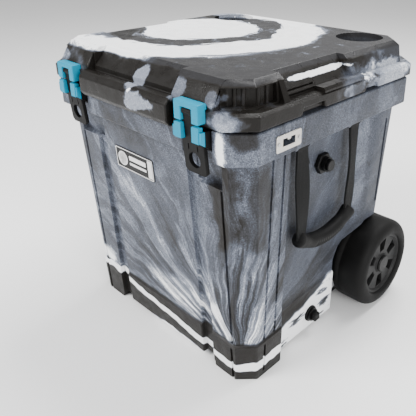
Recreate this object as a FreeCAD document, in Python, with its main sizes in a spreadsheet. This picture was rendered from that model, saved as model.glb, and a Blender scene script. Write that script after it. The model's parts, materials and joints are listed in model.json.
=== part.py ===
import FreeCAD, Part
import math
import os
import re
import Sketcher

# A rotomoulded cooler on two wheels, in millimetres.
# +Z is up, the latches face -Y, the hinge, wheels and towing handle are at +Y.
# The origin is on the floor, below the middle of the whole cooler.

V = FreeCAD.Vector
doc = FreeCAD.newDocument("cooler_on_wheels")

DIMENSIONS = {
    # tub, outside
    "body_half_width_low": 202, "body_half_width_top": 217,
    "body_half_depth_low": 180, "body_half_depth_top": 204,
    "body_corner_low": 24, "body_corner_top": 28,
    "rim_bottom": 399, "rim_top": 445,
    "rim_half_width": 231, "rim_half_depth": 220, "rim_corner": 30,
    "foot_height": 9, "foot_inner": 132, "foot_rear": -100,
    "band_top": 70, "band_proud": 2.5,
    "channel_centre": 117, "channel_width": 26, "channel_depth": 7,
    # side panels, which are set back between the corner columns
    "panel_low": 190, "panel_top": 197, "panel_front": -92, "panel_rear": 84,
    "panel_ledge": 91, "panel_ledge_step": 3,
    # tub, inside
    "store_half_width_low": 160, "store_half_width_top": 168,
    "store_half_depth_low": 150, "store_half_depth_top": 160,
    "store_corner": 22, "store_floor": 48, "store_shelf": 196, "store_step": 45,
    "skin": 6, "foam_slack": 0.3, "foam_port_radius": 10,
    # lid
    "lid_bottom": 449, "flange_top": 472, "lid_top": 508,
    "flange_half_width": 235, "flange_half_depth": 224, "flange_corner": 32,
    "raised_half_width": 219, "raised_half_depth": 211, "raised_corner": 30,
    "plateau_half_width": 207, "plateau_half_depth": 199, "plateau_corner": 26,
    "crown_edge": 500, "plug_half_width": 162, "plug_half_depth": 153, "plug_bottom": 438,
    "cup_across": 152, "cup_back": 154, "cup_radius": 40, "cup_depth": 24,
    # hinge of the lid
    "hinge_back": 212, "hinge_up": 432, "hinge_rod_radius": 3, "knuckle_radius": 9,
    "knuckle_inner": 60, "knuckle_outer": 128,
    # latches
    "latch_across": 148, "latch_half_width": 23.5, "latch_leg": 13,
    "latch_pin_front": -230, "latch_pin_up": 466, "latch_pin_radius": 2.5,
    "latch_face": -237, "latch_lip_back": -229,
    "strap_bottom": 375, "strap_shoulder": 427, "ring_up": 396, "ring_radius": 11.5,
    # lock plate, badge plate
    "lock_along": -130, "lock_up": 420, "lock_length": 52, "lock_height": 24,
    "lock_slot": 26, "lock_slot_height": 11, "lock_thickness": 2,
    "badge_across": -28, "badge_up": 330, "badge_length": 100, "badge_height": 38,
    # side carrying handles
    "carry_along": -6, "carry_spread": 68, "carry_pin_across": 212, "carry_pin_up": 393,
    "carry_pin_radius": 3, "webbing_width": 25, "webbing_thickness": 4,
    "grip_radius": 13.5, "grip_arc_radius": 120, "grip_low": 211,
    # vent and drain, both on the right side
    "vent_along": -2, "vent_up": 336, "vent_radius": 17, "vent_stem_radius": 5,
    "drain_along": -6, "drain_up": 38, "drain_radius": 15, "drain_bore_radius": 9,
    # wheels
    "axle_back": 156, "axle_up": 86, "axle_radius": 6, "wheel_radius": 86,
    "wheel_inner": 175, "wheel_outer": 249, "hub_radius": 60, "well_wall": 167,
    "running_gap": 0.06,
    # towing handle, which leans like the rear wall
    "tow_back": 210, "tow_spread": 130, "tow_outer_radius": 11, "tow_mid_radius": 9.4,
    "tow_inner_radius": 7.8, "tow_wall": 1.4, "tow_low": 104, "tow_top": 356,
    "tow_bracket_one": 211, "tow_bracket_two": 327,
    "tow_collar_top": 378, "tow_grip_low": 380, "tow_grip_top": 408,
}

sheet = doc.addObject("Spreadsheet::Sheet", "Dimensions")
for row, (alias, value) in enumerate(DIMENSIONS.items(), start=1):
    sheet.set(f"A{row}", alias)
    sheet.set(f"B{row}", str(value))
    sheet.setAlias(f"B{row}", alias)
doc.recompute()

subparts = []


def dim(alias):
    """A driving dimension, read from the sheet."""
    return float(getattr(sheet, alias))


def bound(text):
    """The text of an expression, with each dimension's name pointing at the sheet."""
    def point(word):
        return "Dimensions." + word[0] if word[0] in DIMENSIONS else word[0]

    return re.sub(r"[a-z][a-z_]+", point, text)


def keep(obj, label):
    """Names an object as one of the pieces that are written out."""
    obj.Label = label
    subparts.append(obj)
    return obj


# ---------------------------------------------------------------- plain shapes

def octagon(half_x, half_y, corner, z):
    """The corners of a level rectangle with cut corners, centred on the Z axis."""
    x, y = half_x - corner, half_y - corner
    points = [(half_x, -y), (half_x, y), (x, half_y), (-x, half_y)]
    points += [(-half_x, y), (-half_x, -y), (-x, -half_y), (x, -half_y)]
    return [V(px, py, z) for px, py in points]


def between(low, high):
    """A solid with flat faces between two outlines whose sides are parallel, pair by pair."""
    faces = [Part.Face(Part.makePolygon(ring + ring[:1])) for ring in (low, high)]
    for i in range(len(low)):
        j = (i + 1) % len(low)
        faces.append(Part.Face(Part.makePolygon([low[i], low[j], high[j], high[i], low[i]])))
    solid = Part.Solid(Part.makeShell(faces))
    if solid.Volume < 0:
        solid.reverse()
    return solid


def frustum(low, high):
    """A solid between two octagons, each given as half_x, half_y, corner, z."""
    return between(octagon(*low), octagon(*high))


def polygon(points, axis, at):
    """Corners across an axis: points are (y, z) for x, (x, z) for y, (x, y) for z."""
    place = {"x": lambda a, b: V(at, a, b), "y": lambda a, b: V(a, at, b), "z": lambda a, b: V(a, b, at)}
    return [place[axis](a, b) for a, b in points]


def prism(points, axis, low, high):
    """An outline pushed along an axis from low to high."""
    travel = {"x": V(1, 0, 0), "y": V(0, 1, 0), "z": V(0, 0, 1)}[axis] * (high - low)
    corners = polygon(points, axis, low)
    return Part.Face(Part.makePolygon(corners + corners[:1])).extrude(travel)


def block(x, y, z):
    """A box from three (low, high) pairs."""
    return Part.makeBox(x[1] - x[0], y[1] - y[0], z[1] - z[0], V(x[0], y[0], z[0]))


def rod(radius, low, high, a, b, axis="x"):
    """A round bar along an axis, at (y, z) for x, (x, z) for y or (x, y) for z."""
    base = {"x": V(low, a, b), "y": V(a, low, b), "z": V(a, b, low)}[axis]
    way = {"x": V(1, 0, 0), "y": V(0, 1, 0), "z": V(0, 0, 1)}[axis]
    return Part.makeCylinder(radius, high - low, base, way)


def mirrored(shape):
    """The same shape on the left side."""
    return shape.mirror(V(0, 0, 0), V(1, 0, 0))


def both(shapes):
    """Right-hand shapes and their left-hand twins."""
    return shapes + [mirrored(s) for s in shapes]


def group(shapes):
    """Separate solids that are kept together as one shape."""
    return Part.makeCompound([solid for s in shapes for solid in s.Solids])


def feature(label, shape):
    """A sub-part whose shape is worked out here from the sheet's dimensions."""
    obj = doc.addObject("Part::Feature", label)
    if len(shape.Solids) == 1:
        shape = shape.Solids[0]
    where = shape.Placement
    obj.Shape = shape
    obj.Placement = where
    return keep(obj, label)


# ------------------------------------------------------ primitives on the sheet

def place(obj, at=("0", "0", "0"), turn=None):
    """Puts a primitive at three expressions, turned about one axis by an angle in degrees."""
    if turn:
        obj.Placement = FreeCAD.Placement(V(), FreeCAD.Rotation(*turn))
    for letter, text in zip("xyz", at):
        obj.setExpression(f"Placement.Base.{letter}", bound(text))
    return obj


def cylinder(name, radius, length, at, axis="x"):
    """A Part::Cylinder along an axis, sized by expressions."""
    obj = doc.addObject("Part::Cylinder", name)
    obj.setExpression("Radius", bound(radius))
    obj.setExpression("Height", bound(length))
    turns = {"x": (V(0, 1, 0), 90), "y": (V(1, 0, 0), -90), "z": None}
    return place(obj, at, turns[axis])


def cut(name, base, tool):
    """A Part::Cut of two objects."""
    obj = doc.addObject("Part::Cut", name)
    obj.Base, obj.Tool = base, tool
    return obj


def bundle(name, pieces):
    """A Part::Compound of separate, equal pieces."""
    obj = doc.addObject("Part::Compound", name)
    obj.Links = pieces
    return obj


# ----------------------------------------------------------- sketches on a body

def new_body(label):
    body = doc.addObject("PartDesign::Body", label)
    return keep(body, label)


def plane_of(body, role):
    """One of the body's own origin planes."""
    return next(f for f in body.Origin.OriginFeatures if f.Role == role)


def sketch_on(body, name, role, points, holes=(), offset="0"):
    """A sketch of one closed outline whose corners are expressions, and round holes (x, y, radius)."""
    sketch = body.newObject("Sketcher::SketchObject", name)
    sketch.AttachmentSupport = [(plane_of(body, role), "")]
    sketch.MapMode = "FlatFace"
    sketch.setExpression("AttachmentOffset.Base.z", bound(offset))
    values = [(value_of(a), value_of(b)) for a, b in points]
    count = len(points)
    for i, (a, b) in enumerate(values):
        c, d = values[(i + 1) % count]
        sketch.addGeometry(Part.LineSegment(V(a, b, 0), V(c, d, 0)), False)
    for i in range(count):
        sketch.addConstraint(Sketcher.Constraint("Coincident", i, 2, (i + 1) % count, 1))
    for i, (across, up) in enumerate(points):
        for kind, text, value in zip(("DistanceX", "DistanceY"), (across, up), values[i]):
            at = sketch.addConstraint(Sketcher.Constraint(kind, -1, 1, i, 1, value))
            sketch.setExpression(f"Constraints[{at}]", bound(text))
    for across, up, radius in holes:
        centre = V(value_of(across), value_of(up), 0)
        circle = sketch.addGeometry(Part.Circle(centre, V(0, 0, 1), value_of(radius)), False)
        for kind, text, value in zip(("DistanceX", "DistanceY"), (across, up), centre):
            at = sketch.addConstraint(Sketcher.Constraint(kind, -1, 1, circle, 3, value))
            sketch.setExpression(f"Constraints[{at}]", bound(text))
        at = sketch.addConstraint(Sketcher.Constraint("Radius", circle, value_of(radius)))
        sketch.setExpression(f"Constraints[{at}]", bound(radius))
    return sketch


def value_of(text):
    """The number that an expression comes to, worked out in a spare cell of the sheet."""
    sheet.set("D1", f"={text}")
    sheet.recompute()
    return float(sheet.get("D1"))


def pad(body, name, role, points, length, holes=(), offset="0", backwards=False):
    """A body's pad from an outline on one of its planes."""
    sketch = sketch_on(body, name + "_sketch", role, points, holes, offset)
    obj = body.newObject("PartDesign::Pad", name)
    obj.Profile = sketch
    obj.setExpression("Length", bound(length))
    obj.Reversed = backwards
    return obj


def revolve(body, name, points):
    """A body's full turn about the X axis, from an outline of (x, radius) corners."""
    sketch = sketch_on(body, name + "_sketch", "XY_Plane", points)
    obj = body.newObject("PartDesign::Revolution", name)
    obj.Profile = sketch
    obj.ReferenceAxis = (sketch, ["H_Axis"])
    obj.Angle = 360
    return obj


# ------------------------------------------------------------------ tub shell

wall_lean = dim("body_half_depth_top") - dim("body_half_depth_low")
wall_draft = math.degrees(math.atan2(wall_lean, dim("rim_bottom")))
leaned = FreeCAD.Placement(V(0, dim("tow_back"), 0), FreeCAD.Rotation(V(1, 0, 0), -wall_draft))


def bracket_screw_spots():
    """Where the towing handle's screws stand, across and up."""
    return [(across, dim(up)) for up in ("tow_bracket_one", "tow_bracket_two") for across in (-80, 80)]


def bracket_screw_shanks():
    """The shanks of the towing handle's screws, set in the rear wall."""
    shanks = [Part.makeCylinder(2.2, 20, V(x, -42, z), V(0, 1, 0)) for x, z in bracket_screw_spots()]
    return [shank.transformed(leaned.toMatrix()) for shank in shanks]


def wall_at(low, top, z):
    """How far out a drafted outer wall stands at a height."""
    return low + (top - low) * z / dim("rim_bottom")


def body_outline(out, z):
    """The tub's outer octagon at a height, grown by a distance."""
    return (
        wall_at(dim("body_half_width_low"), dim("body_half_width_top"), z) + out,
        wall_at(dim("body_half_depth_low"), dim("body_half_depth_top"), z) + out,
        wall_at(dim("body_corner_low"), dim("body_corner_top"), z),
        z,
    )


def store(grow):
    """The room inside, with its step over the wheels, grown by a distance on every side but the top."""
    low, top = dim("store_half_width_low"), dim("store_half_width_top")
    depth_low, depth_top = dim("store_half_depth_low"), dim("store_half_depth_top")
    shelf, floor, corner = dim("store_shelf"), dim("store_floor"), dim("store_corner")
    upper = frustum(
        (low + grow, depth_low + grow, corner, shelf - grow),
        (top + grow, depth_top + grow, corner, dim("rim_top") + 1),
    )
    front, back = -depth_low - grow, dim("store_step") + grow
    narrow = 3
    outlines = []
    for inset, z in ((narrow, floor - grow), (0, shelf + 2)):
        x = low + grow - inset
        y = front + inset
        cut_corner = [(x, y + corner), (x, back), (-x, back), (-x, y + corner)]
        outlines.append(polygon(cut_corner + [(-x + corner, y), (x - corner, y)], "z", z))
    return upper.fuse(between(*outlines))


def wheel_well(grow):
    """The right-hand space that the wheel stands in, grown by a distance."""
    back, up = dim("axle_back"), dim("axle_up")
    front = back - dim("wheel_radius") - 10 - grow
    crown = up + dim("wheel_radius") + 6 + grow
    outline = [(front, -1), (front, up + 32), (front + 12, up + 56), (back - 26, crown)]
    outline += [(260, crown), (260, -1)]
    return prism(outline, "x", dim("well_wall") - grow, 300)


def side_recess():
    """The set-back panel between the front and rear columns of the right side."""
    step = dim("panel_ledge_step")

    def outline(x, z):
        front, rear = dim("panel_front"), dim("panel_rear")
        reach = 240 - x
        points = [(x, front), (x, rear), (240, rear + reach * 2.4), (240, front - reach * 0.7)]
        return polygon(points, "z", z)

    def face(z):
        return wall_at(dim("panel_low"), dim("panel_top"), z)

    ledge, top = dim("panel_ledge"), dim("rim_bottom")
    levels = [
        (face(-1) + step, -1), (face(ledge) + step, ledge), (face(ledge), ledge + 6), (face(top), top),
    ]
    pieces = [between(outline(*a), outline(*b)) for a, b in zip(levels, levels[1:])]
    return pieces[0].fuse(pieces[1:])


def front_cut(across, width, depth, low, high):
    """A channel down the drafted front wall, centred on a distance to the right."""
    reach = 300
    faces = [
        -wall_at(dim("body_half_depth_low"), dim("body_half_depth_top"), z) + depth for z in (low, high)
    ]
    outline = [(faces[0], low), (faces[1], high), (-reach, high), (-reach, low)]
    return prism(outline, "x", across - width / 2, across + width / 2)


def side_groove(along, width, depth, low, high):
    """A groove down the right side's drafted columns."""
    reach = 260
    wall_low, wall_top = dim("body_half_width_low"), dim("body_half_width_top")
    faces = [wall_at(wall_low, wall_top, z) - depth for z in (low, high)]
    outline = [(faces[0], low), (faces[1], high), (reach, high), (reach, low)]
    return prism(outline, "y", along - width / 2, along + width / 2)


def foam_space(slack):
    """The foam's room between the outer skin and the store's wall, widened by a slack."""
    skin = dim("skin")
    outer = frustum(
        (dim("panel_low") - skin + slack, dim("body_half_depth_low") - 2.3 * skin + slack, 24, 20 - slack),
        (dim("panel_top") - skin + slack, dim("body_half_depth_top") - 3.3 * skin + slack, 24, 392 + slack),
    )
    grow = skin - slack
    around = [store(grow)]
    around += both([wheel_well(grow)])
    around.append(rod(dim("axle_radius") + grow, -300, 300, dim("axle_back"), dim("axle_up")))
    drain, vent = dim("drain_along"), dim("vent_along")
    around.append(block((112 - grow, 300), (drain - 24 - grow, drain + 24 + grow), (0, 62 + grow)))
    around.append(rod(dim("vent_stem_radius") + grow, 100, 300, vent, dim("vent_up")))
    return outer.cut(around)


def latch_pocket():
    """The pocket behind the right-hand latch, through the rim and down the front wall."""
    half = dim("latch_half_width") + 5
    outline = [(-190, 352), (-206, dim("rim_top") + 1), (-300, dim("rim_top") + 1), (-300, 344)]
    return prism(outline, "x", dim("latch_across") - half, dim("latch_across") + half)


def tub_shell():
    top, bottom = dim("rim_top"), dim("rim_bottom")
    foot = dim("foot_height")
    shape = frustum(body_outline(0, 0), body_outline(0, bottom + 0.5))
    proud = dim("band_proud")
    band = dim("band_top")
    shape = shape.fuse([
        frustum(body_outline(proud, 0), body_outline(proud, band)),
        frustum(body_outline(proud, band), body_outline(0, band + proud)),
        frustum(
            (dim("rim_half_width"), dim("rim_half_depth"), dim("rim_corner"), bottom),
            (dim("rim_half_width"), dim("rim_half_depth"), dim("rim_corner"), top),
        ),
    ])
    centre, width, depth = dim("channel_centre"), dim("channel_width"), dim("channel_depth")
    removed = [
        front_cut(centre, width, depth, -1, bottom),
        front_cut(centre, width - 8, depth - 3, -1, band),
        front_cut(174, 5, 3, band + 3, 350),
        side_groove(-118, 5, 3, band + 3, bottom - 1),
        side_groove(-143, 5, 3, band + 3, bottom - 1),
        side_groove(161, 6, 3, 208, 374),
        front_cut(174, 5, 0.5, -1, band - 6),
        side_groove(-143, 5, 0.5, foot, band - 6),
        side_recess(),
        wheel_well(0),
        latch_pocket(),
        block((0, 400), (dim("foot_rear"), 400), (-1, foot)),
    ]
    knuckle_in, knuckle_out = dim("knuckle_inner") - 1, dim("knuckle_outer") + 1
    back, up = dim("hinge_back"), dim("hinge_up")
    notch_front = back - dim("knuckle_radius") - 0.6
    removed.append(block((knuckle_in, knuckle_out), (notch_front, 260), (up - 11, top + 1)))
    removed.append(block((190, 300), (back - 10, 260), (up - 14, top + 1)))
    lock, lock_up = dim("lock_along"), dim("lock_up")
    slot, slot_up = dim("lock_slot") / 2, dim("lock_slot_height") / 2
    removed.append(block((212, 260), (lock - slot, lock + slot), (lock_up - slot_up, lock_up + slot_up)))
    drain, drain_up = dim("drain_along"), dim("drain_up")
    single = [
        rod(dim("vent_stem_radius"), 150, 260, dim("vent_along"), dim("vent_up")),
        rod(dim("drain_bore_radius"), 130, 260, drain, drain_up),
        block((118, 150), (drain - 18, drain + 18), (drain_up - 13, 60)),
        block((-dim("foot_inner"), dim("foot_inner")), (-400, 400), (-1, foot)),
        store(0),
        foam_space(dim("foam_slack")),
        rod(dim("axle_radius"), -300, 300, dim("axle_back"), dim("axle_up")),
        rod(dim("hinge_rod_radius"), -300, 300, back, up),
    ]
    single += bracket_screw_shanks()
    single += both([rod(dim("foam_port_radius"), -1, 30, 100, -60, "z")])
    lugs, pin_bores = [], []
    pin, pin_up = dim("carry_pin_across"), dim("carry_pin_up")
    root = dim("panel_top") - 3
    for end in (-1, 1):
        middle = dim("carry_along") + end * dim("carry_spread")
        for side in (-1, 1):
            near = middle + side * (dim("webbing_width") / 2 + 1)
            far = near + side * 7
            outline = [(root, pin_up - 9), (pin + 3, pin_up - 6), (pin + 6, pin_up), (pin + 6, bottom + 1)]
            outline.append((root, bottom + 1))
            lugs.append(prism(outline, "y", min(near, far), max(near, far)))
        pin_bores.append(rod(dim("carry_pin_radius"), middle - 30, middle + 30, pin, pin_up, "y"))
    for s in (-1, 1):
        removed.append(rod(2, -230, -193, dim("latch_across") + s * 18, dim("strap_shoulder") - 8, "y"))
    removed += [rod(1.6, 220, 240, lock + end, lock_up) for end in (-21, 21)]
    shape = shape.cut(both(removed) + single)
    shape = shape.fuse(both(lugs)).cut(both(pin_bores))
    return shape.removeSplitter()


feature("tub_shell", tub_shell())
feature("tub_foam", foam_space(0))


# ------------------------------------------------------------------ lid shell

def raised_inset(inset, corner, low, high):
    """An upright octagon bar inside the lid's raised part."""
    half_x, half_y = dim("raised_half_width") - inset, dim("raised_half_depth") - inset
    return frustum((half_x, half_y, corner, low), (half_x, half_y, corner, high))


def lid_foam_space(slack):
    low, high = (188 + slack, 150 + slack, 20, 456 - slack), (186 + slack, 148 + slack, 20, 494 + slack)
    return frustum(low, high).cut(
        block((-400, 400), (105 + slack, 400), (400, 600))
    )


def lid_corner_recess():
    """The right-hand front corner's sunken band and its upright ribs, as (cutter, ribs)."""
    low, high, depth = dim("flange_top") + 2, dim("crown_edge") - 1, 8
    inner = raised_inset(depth, dim("raised_corner") + 2, low - 5, high + 5)
    cutter = block((184, 260), (-260, -140), (low, high)).cut(inner)
    half_x, half_y = dim("raised_half_width") - depth, dim("raised_half_depth") - depth
    corner = dim("raised_corner") + 2
    spots = [(half_x - corner - 2, -half_y), (half_x - corner + 12, -half_y + 12)]
    spots += [
        (half_x - 12, -half_y + corner - 12), (half_x, -half_y + corner + 2), (half_x, -half_y + corner + 18),
    ]
    ribs = [rod(3.2, low - 1, high + 1, x, y, "z") for x, y in spots]
    return cutter, ribs


def lid_shell():
    bottom, flange, crown, top = dim("lid_bottom"), dim("flange_top"), dim("crown_edge"), dim("lid_top")
    fw, fd, fc = dim("flange_half_width"), dim("flange_half_depth"), dim("flange_corner")
    rw, rd, rc = dim("raised_half_width"), dim("raised_half_depth"), dim("raised_corner")
    pw, pd, pc = dim("plateau_half_width"), dim("plateau_half_depth"), dim("plateau_corner")
    shape = frustum((fw, fd, fc, bottom), (fw, fd, fc, flange - 4))
    shape = shape.fuse([
        frustum((fw, fd, fc, flange - 4), (fw - 4, fd - 4, fc - 1, flange)),
        frustum((rw, rd, rc, flange - 1), (rw - 3, rd - 3, rc, crown)),
        frustum((rw - 3, rd - 3, rc, crown), (pw, pd, pc, top)),
        frustum(
            (dim("plug_half_width"), dim("plug_half_depth"), 20, dim("plug_bottom")),
            (dim("plug_half_width") + 2, dim("plug_half_depth") + 2, 20, bottom + 1),
        ),
    ])
    recess, ribs = lid_corner_recess()
    slope_front = [(-rd + 26, top + 1), (-rd - 30, top + 1), (-rd - 30, flange + 6), (-rd - 1, flange + 6)]
    slope_side = [(rw - 26, top + 1), (rw + 30, top + 1), (rw + 30, flange + 4), (rw + 1, flange + 4)]
    shape = shape.cut(both([recess]))
    shape = shape.cut([prism(slope_front, "x", -100, 100)] + both([prism(slope_side, "y", -124, 24)]))
    hood = [(-190, flange - 1), (-221.5, flange - 1), (-221.5, flange + 9)]
    hood += [(-rd + 2, crown), (-pd, top), (-190, top)]
    gusset = [(200, flange - 1), (rw + 10, flange - 1), (rw - 2, crown), (pw - 2, top), (200, top)]
    lip_half, lip_low = 108, 436
    front = -fd
    lip = [(front + 4, 475), (front - 6, 475), (front - 13, 467), (front - 13, 442), (front - 8, lip_low)]
    lip += [
        (front - 2, lip_low), (front - 0.5, lip_low + 2), (front - 0.5, bottom + 3), (front + 4, bottom + 3),
    ]
    side_lip = [(fw - 18, flange - 1), (fw + 1, flange - 1), (fw + 1, flange + 2)]
    side_lip += [(fw - 2, flange + 6), (fw - 18, flange + 6)]
    added = both([
        prism(hood, "x", 103, 183),
        prism(gusset, "y", -136, -124),
        prism(gusset, "y", 24, 34),
        prism(side_lip, "y", -58, 42),
    ] + ribs)
    added.append(prism(lip, "x", -lip_half, lip_half))
    back, up = dim("hinge_back"), dim("hinge_up")
    radius = dim("knuckle_radius")
    inner, outer = dim("knuckle_inner"), dim("knuckle_outer")
    knuckle = rod(radius, inner, outer, back, up)
    web = block((inner, outer), (back - radius, back + radius), (up, bottom + 1))
    added += both([knuckle, web])
    shape = shape.fuse(added)
    removed = both([
        prism([(left, bottom - 1), (left + 4, bottom + 10), (right - 4, bottom + 10), (right, bottom - 1)],
              "x", fw - 8, fw + 5)
        for left, right in ((-106, -52), (50, 90))
    ] + [
        rod(dim("cup_radius"), top - dim("cup_depth"), top + 9, dim("cup_across"), dim("cup_back"), "z"),
    ])
    for z, x in ((flange + 4.5, rw - 3.5), (flange + 10, rw - 7.5)):
        removed += both([block((x, x + 20), (-116, -60), (z - 1.2, z + 1.2))])
    removed.append(rod(dim("hinge_rod_radius") + dim("running_gap"), -300, 300, back, up))
    removed.append(lid_foam_space(dim("foam_slack")))
    removed.append(rod(dim("foam_port_radius"), bottom - 20, bottom + 10, 0, 0, "z"))
    shape = shape.cut(removed)
    return shape.removeSplitter()


feature("lid_shell", lid_shell())
feature("lid_foam", lid_foam_space(0))


def lid_gasket():
    """A flat seal under the lid, that stops just above the rim."""
    outer, inner = (190, 182), (176, 168)
    low, high = dim("rim_top") + 0.3, dim("lid_bottom")
    ring = frustum((*outer, 30, low), (*outer, 30, high))
    return ring.cut(frustum((*inner, 24, low - 1), (*inner, 24, high + 1)))


feature("lid_gasket", lid_gasket())


# ----------------------------------------------------------------- hinge parts

def hinge_block():
    """The right-hand end block, which fills the notch in the rim's rear corner."""
    back, up, top = dim("hinge_back"), dim("hinge_up"), dim("rim_top")
    half_x, half_y, corner = dim("rim_half_width"), dim("rim_half_depth"), dim("rim_corner")
    rim = frustum((half_x, half_y, corner, dim("rim_bottom")), (half_x, half_y, corner, top))
    return rim.common(block((190, 300), (back - 10, 260), (up - 14, top - 2))).cut(
        rod(dim("hinge_rod_radius"), -300, 300, back, up)
    )


feature("hinge_block_right", hinge_block())
feature("hinge_block_left", mirrored(hinge_block()))
hinge_rod = cylinder(
    "hinge_rod", "hinge_rod_radius", "2 * rim_half_width - 48",
    ("24 - rim_half_width", "hinge_back", "hinge_up"),
)
keep(hinge_rod, "hinge_rod")

ports = [
    cylinder(f"port_plug_{i}", "foam_port_radius - 0.05", "10", (x, "-60", "foot_height + 1"), "z")
    for i, x in enumerate(("-100", "100"))
]
keep(bundle("foam_port_plugs", ports), "foam_port_plugs")
lid_plug = cylinder(
    "lid_port_plug", "foam_port_radius - 0.05", "12", ("0", "0", "plug_bottom + 0.5"), "z"
)
keep(lid_plug, "lid_port_plug")


# --------------------------------------------------------------------- latches

def latch_anchor():
    """The blue arch on the lid that holds the right-hand latch's pin."""
    across, half, leg = dim("latch_across"), dim("latch_half_width"), dim("latch_leg")
    face, flange = dim("latch_face"), dim("flange_top")
    top, foot = flange + 8, dim("lid_bottom") + 4
    front = -dim("flange_half_depth")
    legs = [
        block((across - half, across - half + leg), (face, front), (foot, top)),
        block((across + half - leg, across + half), (face, front), (foot, top)),
    ]
    bridge = block((across - half, across + half), (face, front + 2.4), (flange + 0.1, top))
    pin = latch_pin()
    return bridge.fuse(legs).cut(pin).removeSplitter()


def latch_pin():
    across, half = dim("latch_across"), dim("latch_half_width") - 3
    front, up = dim("latch_pin_front"), dim("latch_pin_up")
    return rod(dim("latch_pin_radius"), across - half, across + half, front, up)


def latch_keeper():
    """The right-hand channel on the tub: two blue lips in front, cheeks, and a plate screwed to the wall."""
    across, half, leg = dim("latch_across"), dim("latch_half_width"), dim("latch_leg")
    face, lip_back = dim("latch_face"), dim("latch_lip_back")
    cheek = half + 4
    low, high = dim("strap_shoulder") - 4, dim("rim_top") - 1
    lip_high = high + 6
    plate_front = -209.5
    pieces = [block((across - cheek, across + cheek), (plate_front, plate_front + 3.5), (low - 14, high))]
    for side in (-1, 1):
        near, far = across + side * half, across + side * cheek
        back = plate_front + 1
        outline = [(face + 1, low + 6), (face + 1, high), (back, high), (back, low - 14)]
        start = near - 0.5 * side
        pieces.append(prism(outline, "x", min(start, far), max(start, far)))
        inner = across + side * (half - leg)
        pieces.append(block((min(inner, near), max(inner, near)), (face, lip_back), (low, lip_high)))
    shape = pieces[0].fuse(pieces[1:])
    swing = rod(
        dim("latch_pin_up") - dim("strap_shoulder") - 0.6,
        across - 40, across + 40, dim("latch_pin_front"), dim("latch_pin_up"),
    )
    slot = half + 0.4
    under = block((across - slot, across + slot), (-300, lip_back + 0.1), (low - 30, lip_high + 1))
    screws = [rod(2, plate_front - 10, plate_front + 20, across + s * 18, low - 4, "y") for s in (-1, 1)]
    return shape.cut([under.cut(swing)] + screws).removeSplitter()


def keeper_screws():
    """Two countersunk screws through the right-hand keeper's plate into the wall."""
    screws = []
    for side in (-1, 1):
        x, z = dim("latch_across") + side * 18, dim("strap_shoulder") - 8
        head = Part.makeCone(3.6, 2, 1.6, V(x, -211.1, z), V(0, 1, 0))
        screws.append(head.fuse(rod(2, -209.5, -193, x, z, "y")))
    return screws


def latch_strap():
    """The right-hand rubber strap: barrel, neck between the lips, and the pull with its ring."""
    across = dim("latch_across")
    front, up = dim("latch_pin_front"), dim("latch_pin_up")
    gap = 0.4
    neck = dim("latch_half_width") - dim("latch_leg") - gap
    shoulder, bottom = dim("strap_shoulder"), dim("strap_bottom")
    lean = 5
    barrel = rod(5.2, across - neck, across + neck, front, up)
    neck_line = [(front - 2.6, up), (front + 2.6, up), (front + 5, shoulder - 4), (front + 0.6, shoulder - 4)]
    wide = 21.5
    pull_line = [
        (front + 2.8, shoulder), (front + 9.4, shoulder),
        (front + 9.2 + lean, bottom), (front + 3 + lean, bottom),
    ]
    shape = prism(neck_line, "x", across - neck, across + neck).fuse(barrel)
    shape = shape.fuse(prism(pull_line, "x", across - wide, across + wide))
    cutters = [
        rod(dim("latch_pin_radius") + dim("running_gap"), across - 30, across + 30, front, up),
        rod(dim("ring_radius"), front - 20, front + 40, across, dim("ring_up"), "y"),
    ]
    for side in (-1, 1):
        cutters.append(block(
            (across + side * 9 - 1, across + side * 9 + 1), (front - 20, front + 5.4),
            (shoulder - 17, shoulder - 8),
        ))
    for side in (-1, 1):
        edge, cut_in = across + side * wide, across + side * (wide - 6)
        outline = [(edge + side, bottom - 1), (edge + side, bottom + 6), (cut_in, bottom - 1)]
        cutters.append(prism(outline, "y", -260, -200))
    return shape.cut(cutters).removeSplitter()


for make in (latch_anchor, latch_keeper, latch_strap):
    feature(make.__name__ + "_right", make())
    feature(make.__name__ + "_left", mirrored(make()))
feature("latch_pins", group(both([latch_pin()])))
feature("keeper_screws", group(both(keeper_screws())))


# ------------------------------------------------------- plates on the outside

def plate_corners(length, height, corner, across="0", up="0"):
    """The corners of a plate with small cut corners, about a middle, as expressions."""
    w, h = f"{length} / 2", f"{height} / 2"
    spots = [
        ("+", w, f"- {corner}", "-", h, ""), ("+", w, "", "-", h, f"+ {corner}"),
        ("+", w, "", "+", h, f"- {corner}"), ("+", w, f"- {corner}", "+", h, ""),
        ("-", w, f"+ {corner}", "+", h, ""), ("-", w, "", "+", h, f"- {corner}"),
        ("-", w, "", "-", h, f"+ {corner}"), ("-", w, f"+ {corner}", "-", h, ""),
    ]
    return [(f"{across} {a} {b} {c}", f"{up} {d} {e} {f}") for a, b, c, d, e, f in spots]


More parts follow.
